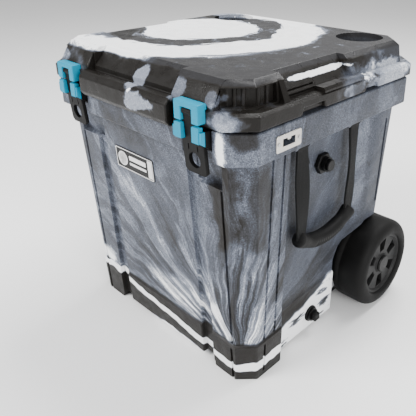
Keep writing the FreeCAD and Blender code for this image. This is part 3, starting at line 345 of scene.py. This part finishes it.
DULL = {"specular_ior_level": 0.13}
black_plastic = moulded("satin_black", grey(0.003), grey(0.008, -0.02), (0.34, 0.48), 1500.0, 0.00010, **DULL)
hub_plastic = moulded("hub_grey", grey(0.012), grey(0.020, -0.02), (0.42, 0.55), 1300.0, 0.00012, **DULL)
strap_rubber = moulded("latch_rubber", grey(0.003), grey(0.008, 0.02), (0.50, 0.66), 900.0, 0.00010, **DULL)
grip_rubber = moulded("grip_rubber", grey(0.005), grey(0.012), (0.48, 0.62), 1100.0, 0.00014, **DULL)
gasket_rubber = moulded("gasket_rubber", grey(0.006), grey(0.012), (0.6, 0.7), 700.0, 0.00010, **DULL)
tyre_rubber = moulded("tyre_rubber", grey(0.003), grey(0.008, 0.03), (0.55, 0.72), 800.0, 0.00022, **DULL)
blue_plastic = moulded(
    "cyan_blue", (0.0, 0.20, 0.32, 1.0), (0.0, 0.23, 0.36, 1.0), (0.30, 0.42), 1400.0, 0.00006, **DULL,
)
print("moulded finishes:", 7)

# %% [markdown]
# The bottle-opener plates are brushed stainless steel: fine scratches all run along the plate, so the
# noise is squeezed hard across them. Screws, axle and pins are zinc plated, with a cloudy look.
# The towing tubes are black anodised, a metal with a dark base and tight highlights.

# %% Metals
def brushed(name, base, rough, stretch, depth):
    """Metal brushed along the direction in which stretch is smallest."""
    skin = Finish(name, metallic=1.0)
    lines = skin.noise(1.0, 3.0, 0.7, skin.vector("MULTIPLY", skin.at, stretch))
    cloud = skin.noise(45.0, 3.0)
    skin.wear({
        "Base Color": skin.mix(skin.step(lines * 0.7 + cloud * 0.3, 0.3, 0.7), base, grey(base[1] * 0.8)),
        "Roughness": skin.step(lines, 0.2, 0.8, *rough),
    })
    skin.bump(lines, depth)
    return skin.material


plate_steel = brushed("brushed_steel", (0.70, 0.65, 0.58, 1.0), (0.30, 0.46), (900.0, 60.0, 2600.0), 0.00004)
zinc = brushed("zinc_plate", grey(0.56, -0.02), (0.25, 0.45), (500.0, 500.0, 500.0), 0.00003)
black_tube = brushed("black_anodised", grey(0.030), (0.22, 0.34), (1500.0, 1500.0, 90.0), 0.00003)
print("metals:", plate_steel.name, zinc.name, black_tube.name)

# %% [markdown]
# The carrying straps are black polyester webbing, about 25 mm wide. Close up, its yarns cross in a
# herringbone, so each row of small ovals leans the other way from the next. Two sine waves make the yarns.
# The foam that fills the walls is pale and full of small closed cells. It shows only in a cut-open model.

# %% Webbing, foam and badge
def woven(name):
    """Black webbing with a herringbone weave that follows the strap's length."""
    skin = Finish(name, specular_ior_level=0.2)
    x, y, z = skin.axes(skin.at)
    lean = skin.node("ShaderNodeMath", {"operation": "PINGPONG"}, {0: y, 1: 0.0032})
    rows = skin.node("ShaderNodeMath", {"operation": "SINE"}, {0: (z + lean * 0.8 + x * 0.3) * 3300.0})
    yarns = skin.node("ShaderNodeMath", {"operation": "SINE"}, {0: y * 3900.0})
    height = rows * 0.6 + yarns * 0.4
    fuzz = skin.noise(1800.0, 2.0, 0.7)
    skin.wear({
        "Base Color": skin.mix(skin.step(height + fuzz, -0.2, 1.4), grey(0.002), grey(0.010, -0.03)),
        "Roughness": skin.step(fuzz, 0.2, 0.8, 0.62, 0.86),
    })
    skin.bump(height + fuzz * 0.4, 0.00025)
    return skin.material


def foamed(name):
    """Pale rigid foam with small closed cells."""
    skin = Finish(name, subsurface_weight=0.1)
    cells = skin.node("ShaderNodeTexVoronoi", inputs={"Vector": skin.at, "Scale": 420.0}, out="Distance")
    skin.wear({"Base Color": skin.mix(skin.noise(30.0), (0.80, 0.70, 0.48, 1.0), (0.88, 0.80, 0.62, 1.0))})
    skin.wear({"Roughness": skin.step(cells, 0.0, 0.8, 0.75, 0.9)})
    skin.bump(cells, 0.0006)
    return skin.material


webbing = woven("webbing_black")
foam = foamed("wall_foam")
badge_face = moulded("badge_charcoal", grey(0.008), grey(0.013), (0.38, 0.5), 500.0, 0.00004, **DULL)
badge_light = moulded("badge_silver", grey(0.62), grey(0.72), (0.28, 0.4), 700.0, 0.00003)
print("soft finishes:", webbing.name, foam.name)

# %% [markdown]
# Moulded parts have no knife edges. A CAD node's mesh is loose triangles, so a copy is merged, its flat
# faces are joined up, and the sharp edges are bevelled. A bevel would overlap itself on small steps, so an
# edge is only rounded where the faces beside it leave room, one chain of edges at a time. Inward edges are
# left alone on small parts, because a button or a plug needs that room. Weighted normals keep flats flat.

# %% Round the edges of a CAD part
def room_beside(edge, face, sharp):
    """How wide a rounding an edge can have before it meets the face's other edges."""
    room, length = 1.0, edge.calc_length()
    for vert in edge.verts:
        along = edge.other_vert(vert).co - vert.co
        for other in vert.link_edges:
            if other is edge or face not in other.link_faces:
                continue
            way = other.other_vert(vert).co - vert.co
            angle = along.angle(way, 0.0)
            if other in sharp:
                room = min(room, min(length, way.length) * math.tan(angle / 2))
            elif angle < math.radians(150):
                room = min(room, way.length * math.sin(angle))
    start, whole = edge.verts[0].co, edge.verts[1].co - edge.verts[0].co
    for vert in set(face.verts) - set(edge.verts):
        share = (vert.co - start).dot(whole) / whole.length_squared
        if -0.01 < share < 1.01:
            room = min(room, (vert.co - start - whole * share).length)
    middle = (edge.verts[0].co + edge.verts[1].co) / 2
    inward = face.normal.cross(edge.verts[1].co - edge.verts[0].co).normalized()
    for way in (inward, -inward):
        for other in face.edges:
            ends = [v.co for v in other.verts]
            hit = intersect_line_line(middle, middle + way, *ends) if other is not edge else None
            if hit and (hit[0] - hit[1]).length < 1e-5:
                share = (hit[1] - ends[0]).dot(ends[1] - ends[0]) / (ends[1] - ends[0]).length_squared
                reach = (hit[0] - middle).dot(way)
                if 0 <= share <= 1 and reach > 1e-5:
                    room = min(room, reach)
    return room


def piece_from(bm, name, finish, body, slot, *nodes):
    """Turns a bmesh into a finished object that rides on a body and stands for CAD nodes."""
    mesh = bpy.data.meshes.new(name)
    bm.to_mesh(mesh)
    bm.free()
    mesh.shade_smooth()
    mesh.materials.append(finish)
    piece = bpy.data.objects.new(name, mesh)
    bpy.context.collection.objects.link(piece)
    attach(piece, body)
    if nodes:
        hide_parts(*nodes)
    return piece


def chains(edges):
    """Groups of edges that meet at their ends. A dict keeps its order, so every run rounds alike."""
    left, groups = dict.fromkeys(edges), []
    while left:
        group, front = [], [left.popitem()[0]]
        while front:
            edge = front.pop()
            group.append(edge)
            near = dict.fromkeys(e for vert in edge.verts for e in vert.link_edges if e in left)
            for e in near:
                del left[e]
            front += near
        groups.append(group)
    return groups


def rounded(node, finish, width, hollows=False):
    """A copy of a CAD node. Outward edges are rounded where there is room, and inward ones if asked."""
    bm = bmesh.new()
    bm.from_mesh(frame["nodes"][node].data)
    bmesh.ops.remove_doubles(bm, verts=bm.verts, dist=2e-5)
    bmesh.ops.dissolve_limit(bm, angle_limit=math.radians(0.8), verts=bm.verts, edges=bm.edges)
    sharp = {e for e in bm.edges if e.is_manifold and e.calc_face_angle() > math.radians(24)}
    wanted = [e for e in bm.edges if e in sharp and (hollows or e.is_convex)]
    roomy = [e for e in wanted if min(room_beside(e, face, sharp) for face in e.link_faces) > 2.6 * width]
    for group in chains(roomy):
        bmesh.ops.bevel(
            bm, geom=group, offset=width, offset_type="OFFSET", segments=3, profile=0.5,
            affect="EDGES", material=-1, clamp_overlap=True,
        )
    for edge in bm.edges:
        edge.smooth = not edge.is_manifold or edge.calc_face_angle() < math.radians(35)
    piece = piece_from(bm, node + "_look", finish, owner[node], slots[node], node)
    flats = piece.modifiers.new("flats", "WEIGHTED_NORMAL")
    flats.mode, flats.keep_sharp, flats.weight = "FACE_AREA", True, 100
    return piece


tub = rounded("tub_shell", tub_skin, 0.0026, hollows=True)
lid = rounded("lid_shell", lid_skin, 0.0024, hollows=True)
print("tub and lid:", len(tub.data.polygons), "and", len(lid.data.polygons), "faces")

# %% [markdown]
# The small mouldings and plates are treated the same way, with a width that suits each one's size.
# The two sides of the cooler are twins, so a name that ends in _right brings its left twin along.

# %% Round the small parts
def twins(node):
    return [node, node.replace("_right", "_left")] if node.endswith("_right") else [node]


SMALL = [
    (blue_plastic, 0.0016, ["latch_anchor_right"]),
    (strap_rubber, 0.0012, ["latch_strap_right"]),
    (plate_steel, 0.0005, ["lock_plate_right"]),
    (zinc, 0.0006, ["lock_plate_screws", "keeper_screws", "bracket_screws", "hinge_rod", "latch_pins"]),
    (zinc, 0.0006, ["carry_pins", "axle", "axle_washers", "axle_push_caps"]),
    (black_plastic, 0.0015, ["vent_body", "vent_button", "drain_fitting"]),
    (black_plastic, 0.0015, ["drain_plug", "vent_nut", "drain_nut"]),
    (black_plastic, 0.0020, ["hinge_block_right", "tow_button", "hub_cap_right", "wheel_bush_right"]),
    (black_plastic, 0.0030, ["tow_bracket_lower", "tow_bracket_upper", "tow_collar", "tow_grip"]),
    (black_plastic, 0.0010, ["foam_port_plugs", "lid_port_plug"]),
    (black_tube, 0.0004, ["tow_outer_tube_right", "tow_middle_tube_right", "tow_inner_tube_right"]),
    (hub_plastic, 0.0016, ["wheel_hub_right"]),
    (gasket_rubber, 0.0010, ["lid_gasket", "drain_seal"]),
    (foam, 0.0030, ["tub_foam", "lid_foam"]),
]
for finish, width, names in SMALL:
    for name in names:
        for node in twins(name):
            rounded(node, finish, width)
print(sum(len(twins(n)) for _, _, names in SMALL for n in names), "small parts rounded")

# %% [markdown]
# A latch keeper is blue plastic all over, but here only its two lips in front stay blue; its cheeks and the
# plate behind the strap are coloured black as painted shade. A cut straight across the mesh gives the two
# colours a crisp border.

# %% Latch keepers with painted shade behind the lips
PAINTED_SHADE_Y = -0.229
for node in twins("latch_keeper_right"):
    keeper = rounded(node, blue_plastic, 0.0016)
    keeper.data.materials.append(black_plastic)
    bm = bmesh.new()
    bm.from_mesh(keeper.data)
    everything = bm.verts[:] + bm.edges[:] + bm.faces[:]
    bmesh.ops.bisect_plane(bm, geom=everything, dist=1e-6, plane_co=(0, PAINTED_SHADE_Y, 0), plane_no=(0, 1, 0))
    for face in bm.faces:
        # Faces behind the lips take the black: painted shade standing in for the shadow on the cheeks and
        # plate.
        face.material_index = int(face.calc_center_median().y > PAINTED_SHADE_Y)
    bm.to_mesh(keeper.data)
    bm.free()
print("keepers are blue in front of y =", PAINTED_SHADE_Y)

# %% [markdown]
# The wheels have solid rubber tyres: a flat tread that falls off in a round shoulder, a stepped band on
# the inside, and one shallow groove. A tyre is the same all the way round, so its outline is drawn once,
# as millimetres from the middle of the cooler and from the axle, and spun about the axle.

# %% Tyres
TREAD = [
    (178, 60), (176, 62), (175, 65), (175, 70), (175.8, 73.5), (178, 77.5), (181, 80.4), (184.6, 81.9),
    (185.8, 82.6), (186.2, 84.6), (187.4, 85.8), (189, 86), (197, 86), (198, 85.2), (200, 85.2), (201, 86),
    (230, 86), (235, 85.6), (239, 84.5), (242.5, 82.5), (245.5, 79.6), (247.6, 76), (248.8, 72), (249, 68),
    (248.6, 64.5), (247.4, 62), (245, 60),
]
AXLE_Y, AXLE_Z = 0.156, 0.086


def tyre(node, side):
    bm = bmesh.new()
    verts = [bm.verts.new((side * x / 1000, AXLE_Y, AXLE_Z + r / 1000)) for x, r in TREAD]
    edges = [bm.edges.new(pair) for pair in zip(verts, verts[1:] + verts[:1])]
    bmesh.ops.spin(
        bm, geom=verts + edges, cent=(0, AXLE_Y, AXLE_Z), axis=(1, 0, 0), dvec=(0, 0, 0),
        angle=math.tau, steps=96, use_merge=True, use_duplicate=False,
    )
    bmesh.ops.recalc_face_normals(bm, faces=bm.faces)
    return piece_from(bm, node + "_look", tyre_rubber, owner[node], slots[node], node)


tyres = [tyre("tyre_right", 1), tyre("tyre_left", -1)]
print("tyre faces:", [len(t.data.polygons) for t in tyres])

# %% [markdown]
# Long, bent shapes are lofted: a row of closed rings, each with the same number of points, joined with
# quads. The ends are either capped or joined up into a loop. Straps, grips and the badge all use it.

# %% Loft rings into a skin
def loft(bm, rings, capped=True):
    """Joins closed rings of points with quads; the ends are capped, or else joined to each other."""
    loops = []
    for ring in rings:
        verts = [bm.verts.new(point) for point in ring]
        loops.append([bm.edges.new(pair) for pair in zip(verts, verts[1:] + verts[:1])])
    following = loops[1:] if capped else loops[1:] + loops[:1]
    for one, two in zip(loops, following):
        bmesh.ops.bridge_loops(bm, edges=one + two)
    for end in (loops[0], loops[-1]) if capped else ():
        bmesh.ops.contextual_create(bm, geom=end)
    bmesh.ops.recalc_face_normals(bm, faces=bm.faces)


def smooth_by(bm, degrees):
    """Marks the edges that turn by more than an angle, so that they stay crisp."""
    for edge in bm.edges:
        edge.smooth = not edge.is_manifold or edge.calc_face_angle() < math.radians(degrees)


print("loft is ready")

# %% [markdown]
# Each carrying strap is one length of webbing. It climbs from the grip, goes over the pin behind the rim
# and comes back down behind itself. A strap never hangs quite flat: it turns a little, bows outwards, and
# bunches up where it enters the grip. The front straps also show the sewn tail, poking out at an angle.

# %% Webbing straps
PIN_X, PIN_Z, GRIP_Z = 0.212, 0.393, 0.232
FRONT_Y, REAR_Y = -0.074, 0.062
THICK, HALF_WIDTH, BUNCHED, LOOP_RADIUS = 0.0019, 0.0122, 0.0026, 0.0043
APART = THICK * 0.54
SECTION = [
    (-1, 0.2), (-0.97, 0.8), (-0.90, 1), (0.90, 1), (0.97, 0.8), (1, 0.2),
    (1, -0.2), (0.97, -0.8), (0.90, -1), (-0.90, -1), (-0.97, -0.8), (-1, -0.2),
]


def section(centre, across, out, half):
    """The rounded outline of flat webbing: across is its width, out is its thickness."""
    return [centre + across * (a * half) + out * (b * THICK / 2) for a, b in SECTION]


def strap_frame(share, middle, inward, twist):
    """Centre, width direction and thickness direction of a strap, from the pin (0) to the grip (1)."""
    turn = twist * math.sin(math.pi * min(1.0, share * 1.15)) ** 2
    bow = 0.0022 * math.sin(math.pi * share)
    ease = share * share * (3 - 2 * share)
    height = PIN_Z + (GRIP_Z - PIN_Z) * share
    centre = Vector((PIN_X + 0.002 * ease + bow, middle + inward * 0.0035 * ease, height))
    across, out = (math.sin(turn), math.cos(turn), 0), (math.cos(turn), -math.sin(turn), 0)
    return centre, Vector(across), Vector(out)


def sewn_tail(bm, middle, inward):
    """The cut end of a strap, which pokes out beside it at a slant."""
    lean = Vector((0.08, inward * 0.32, -0.90)).normalized()
    across = Vector((0, 1, inward * 0.46)).normalized()
    out = across.cross(lean).normalized()
    start = Vector((PIN_X - 0.0034, middle + inward * 0.001, PIN_Z - 0.010))
    rings = []
    for i in range(13):
        centre = start + lean * (0.033 * i / 12) - out * 0.0012 * math.sin(i / 4)
        rings.append(section(centre, across, out, 0.0100))
    loft(bm, rings)


def strap(node, side, middle, inward, twist, tail):
    bm, rings = bmesh.new(), []
    shares = [0.07 + 0.93 * i / 40 for i in range(41)]
    half = [HALF_WIDTH - BUNCHED * max(0.0, (s - 0.72) / 0.28) ** 2 for s in shares]
    for share, wide in reversed(list(zip(shares, half))):
        centre, across, out = strap_frame(share, middle, inward, twist)
        rings.append(section(centre + out * APART, across, out, wide))
    for i in range(13):
        turn = math.radians(-50 + 280 * i / 12)
        out = Vector((math.cos(turn), 0, math.sin(turn)))
        pin = Vector((PIN_X, middle, PIN_Z))
        rings.append(section(pin + out * LOOP_RADIUS, Vector((0, 1, 0)), out, HALF_WIDTH))
    for share, wide in zip(shares, half):
        centre, across, out = strap_frame(share, middle, inward, twist)
        rings.append(section(centre - out * APART, across, -out, wide))
    loft(bm, rings)
    if tail:
        sewn_tail(bm, middle, inward)
    if side < 0:
        bmesh.ops.scale(bm, vec=(-1, 1, 1), verts=bm.verts)
        bmesh.ops.reverse_faces(bm, faces=bm.faces)
    smooth_by(bm, 50)
    return piece_from(bm, node + "_look", webbing, owner[node], slots[node], node)


for word, side in (("right", 1), ("left", -1)):
    strap(f"carry_strap_front_{word}", side, FRONT_Y, 1, math.radians(20), True)
    strap(f"carry_strap_rear_{word}", side, REAR_Y, -1, math.radians(-11), False)
print("straps over pins at x =", PIN_X)

# %% [markdown]
# The grip is a curved rubber sleeve moulded round the webbing. Its top is smooth for the palm, its waist is
# a little slimmer beside the straps, and small ribs underneath, about 6 mm apart, stop fingers slipping.
# It is drawn as rings along an arc whose centre is above it. The ribs only change the rings' lower half.

# %% Rubber grips
GRIP_X, ARC_Y, ARC_Z, ARC, SWEEP = 0.214, -0.006, 0.331, 0.120, math.radians(36.9)
GRIP_RADIUS, WAIST, WAIST_AT, RIB_PITCH, RIB_DEPTH, RIBBED_TO = 0.0128, 0.0014, 0.050, 0.006, 0.0017, 0.036
RINGS, AROUND = 170, 32


def kept_between(value):
    """A number held between 0 and 1."""
    return max(0.0, min(1.0, value))


def grip_ring(turn, side):
    """One ring of the grip, at an angle from the lowest point of its arc."""
    along = abs(turn) * ARC
    left = SWEEP * ARC - along
    waist = WAIST * math.exp(-((along - WAIST_AT) / 0.012) ** 2)
    closing = math.sqrt(max(0.03, 1 - max(0.0, 1 - left / 0.005) ** 2))
    radius = (GRIP_RADIUS - waist) * closing
    wave = 0.5 - 0.5 * math.cos(math.tau * turn * ARC / RIB_PITCH)
    ribbed = kept_between((RIBBED_TO - along) / 0.003) * wave
    down = Vector((0, math.sin(turn), -math.cos(turn)))
    middle = Vector((side * GRIP_X, ARC_Y, ARC_Z)) + down * ARC
    ring = []
    for k in range(AROUND):
        around = math.tau * k / AROUND
        reach = radius - RIB_DEPTH * ribbed * kept_between((math.cos(around) + 0.25) / 0.5)
        ring.append(middle + down * (reach * math.cos(around)) + Vector((reach * math.sin(around), 0, 0)))
    return ring


def grip(node, side):
    bm = bmesh.new()
    rings = [grip_ring(-SWEEP + 2 * SWEEP * i / RINGS, side) for i in range(RINGS + 1)]
    loft(bm, rings)
    return piece_from(bm, node + "_look", grip_rubber, owner[node], slots[node], node)


grips = [grip("carry_grip_right", 1), grip("carry_grip_left", -1)]
print("grip faces:", [len(g.data.polygons) for g in grips])

# %% [markdown]
# The badge is a small plate glued to the sloping front wall. It carries no name, only a plain ring and two
# bars, with a raised bright border and a bright strip at its right end. It is drawn flat, in millimetres,
# and each point is then laid on the wall.

# %% Badge
LEAN = math.radians(3.44)
badge_low, badge_high = (Vector(c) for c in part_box("badge_plate"))
badge_middle = (badge_low + badge_high) / 2


def on_wall(u, v, out):
    """A point on the badge in millimetres: across, up and out of the wall, from its middle."""
    y, z = -v * math.sin(LEAN) - out * math.cos(LEAN), v * math.cos(LEAN) - out * math.sin(LEAN)
    return badge_middle + Vector((u, y, z)) / 1000


def round_box(left, right, low, high, radius):
    """The outline of a box with round corners."""
    corners = ((right, high, 0), (left, high, 90), (left, low, 180), (right, low, 270))
    outline = []
    for x, y, start in corners:
        across = x - math.copysign(radius, x - (left + right) / 2)
        up = y - math.copysign(radius, y - (low + high) / 2)
        for step in range(7):
            turn = math.radians(start + step * 15)
            outline.append((across + radius * math.cos(turn), up + radius * math.sin(turn)))
    return outline


def slab(bm, outline, low, high):
    """A solid over an outline, with its top edge eased by a quarter of a millimetre."""
    across, up = sum(u for u, _ in outline) / len(outline), sum(v for _, v in outline) / len(outline)
    eased = [(u - math.copysign(0.25, u - across), v - math.copysign(0.25, v - up)) for u, v in outline]
    loft(bm, [[on_wall(u, v, out) for u, v in line]
              for line, out in ((outline, low), (outline, high - 0.25), (eased, high))])


def hoop(bm, outer, inner, low, high):
    """A raised line between two outlines."""
    loft(bm, [[on_wall(u, v, out) for u, v in line]
              for line, out in ((outer, low), (outer, high), (inner, high), (inner, low))], capped=False)


def circle(u, v, radius):
    turns = [math.tau * k / 40 for k in range(40)]
    return [(u + radius * math.cos(turn), v + radius * math.sin(turn)) for turn in turns]


plate, trim = bmesh.new(), bmesh.new()
slab(plate, round_box(-50, 50, -19, 19, 3), -1.0, 0.4)
hoop(trim, round_box(-49, 49, -18, 18, 2.4), round_box(-47.8, 47.8, -16.8, 16.8, 1.8), 0.3, 0.9)
slab(trim, round_box(36, 46.4, -15.4, 15.4, 1.2), 0.3, 0.8)
hoop(trim, circle(-31, 0, 12.5), circle(-31, 0, 10.0), 0.3, 0.9)
slab(trim, circle(-31, 0, 4.2), 0.3, 0.9)
slab(trim, round_box(-13, 31, 1.5, 9.5, 1.2), 0.3, 0.9)
slab(trim, round_box(-13, 31, -7.5, -3.0, 0.9), 0.3, 0.9)
for bm in (plate, trim):
    smooth_by(bm, 30)
piece_from(plate, "badge_plate_look", badge_face, "tub", "badge", "badge_plate")
piece_from(trim, "badge_trim_look", badge_light, "tub", "badge")
print("badge middle", tuple(round(v, 4) for v in badge_middle))

# %% [markdown]
# A plain floor, soft light from a wide panel above the front, a fill from the right and a bright surround
# are what a product studio uses. The camera stands about a metre off, at the front right, looking down.
# Its direction comes from three angles: round the cooler, up from level, and a small roll.

# %% Floor, light and camera
def studio_floor():
    bm = bmesh.new()
    bmesh.ops.create_grid(bm, x_segments=1, y_segments=1, size=6.0)
    mesh = bpy.data.meshes.new("floor")
    bm.to_mesh(mesh)
    bm.free()
    paper = Finish("floor_paper", roughness=0.9)
    paper.wear({"Base Color": paper.mix(paper.noise(2.0), grey(0.86), grey(0.88))})
    mesh.materials.append(paper.material)
    floor = bpy.data.objects.new("floor", mesh)
    bpy.context.collection.objects.link(floor)


def panel_light(name, place, aim, size, watts):
    """A square area light that faces a point."""
    lamp = bpy.data.lights.new(name, "AREA")
    lamp.size, lamp.energy = size, watts
    holder = bpy.data.objects.new(name, lamp)
    holder.location = place
    holder.rotation_euler = (Vector(aim) - Vector(place)).to_track_quat("-Z", "Y").to_euler()
    bpy.context.collection.objects.link(holder)


studio_floor()
panel_light("key", (-0.9, -2.2, 2.0), (0, 0, 0.25), 1.2, 118)
panel_light("fill", (2.6, -0.9, 1.3), (0, 0, 0.25), 1.2, 72)
panel_light("top", (0.1, 1.2, 2.4), (0, 0, 0.4), 1.6, 115)
world = bpy.data.worlds.new("studio")
bpy.context.scene.world = world
world.use_nodes = True
world.node_tree.nodes["Background"].inputs["Color"].default_value = (1.0, 1.0, 1.0, 1.0)
world.node_tree.nodes["Background"].inputs["Strength"].default_value = 0.68


def camera(azimuth, elevation, roll, place, lens, shift):
    """A camera at a place, aimed by its turn round the cooler and its height above level."""
    level = math.cos(elevation)
    back = Vector((math.sin(azimuth) * level, -math.cos(azimuth) * level, math.sin(elevation)))
    eye = bpy.data.cameras.new("eye")
    eye.lens, eye.sensor_width, (eye.shift_x, eye.shift_y) = lens, 36.0, shift
    holder = bpy.data.objects.new("eye", eye)
    aim = (-back).to_track_quat("-Z", "Y").to_matrix() @ Matrix.Rotation(roll, 3, "Z")
    holder.matrix_world = Matrix.Translation(place) @ aim.to_4x4()
    bpy.context.collection.objects.link(holder)
    bpy.context.scene.camera = holder


AZIMUTH, ELEVATION, ROLL = (math.radians(angle) for angle in (43.1, 22.83, 0.15))
EYE_PLACE, EYE_LENS, EYE_SHIFT = (0.6474, -0.6499, 0.6853), 46.35, (-0.101, -0.139)
camera(AZIMUTH, ELEVATION, ROLL, EYE_PLACE, EYE_LENS, EYE_SHIFT)
print("camera at", tuple(round(v, 3) for v in bpy.context.scene.camera.location))
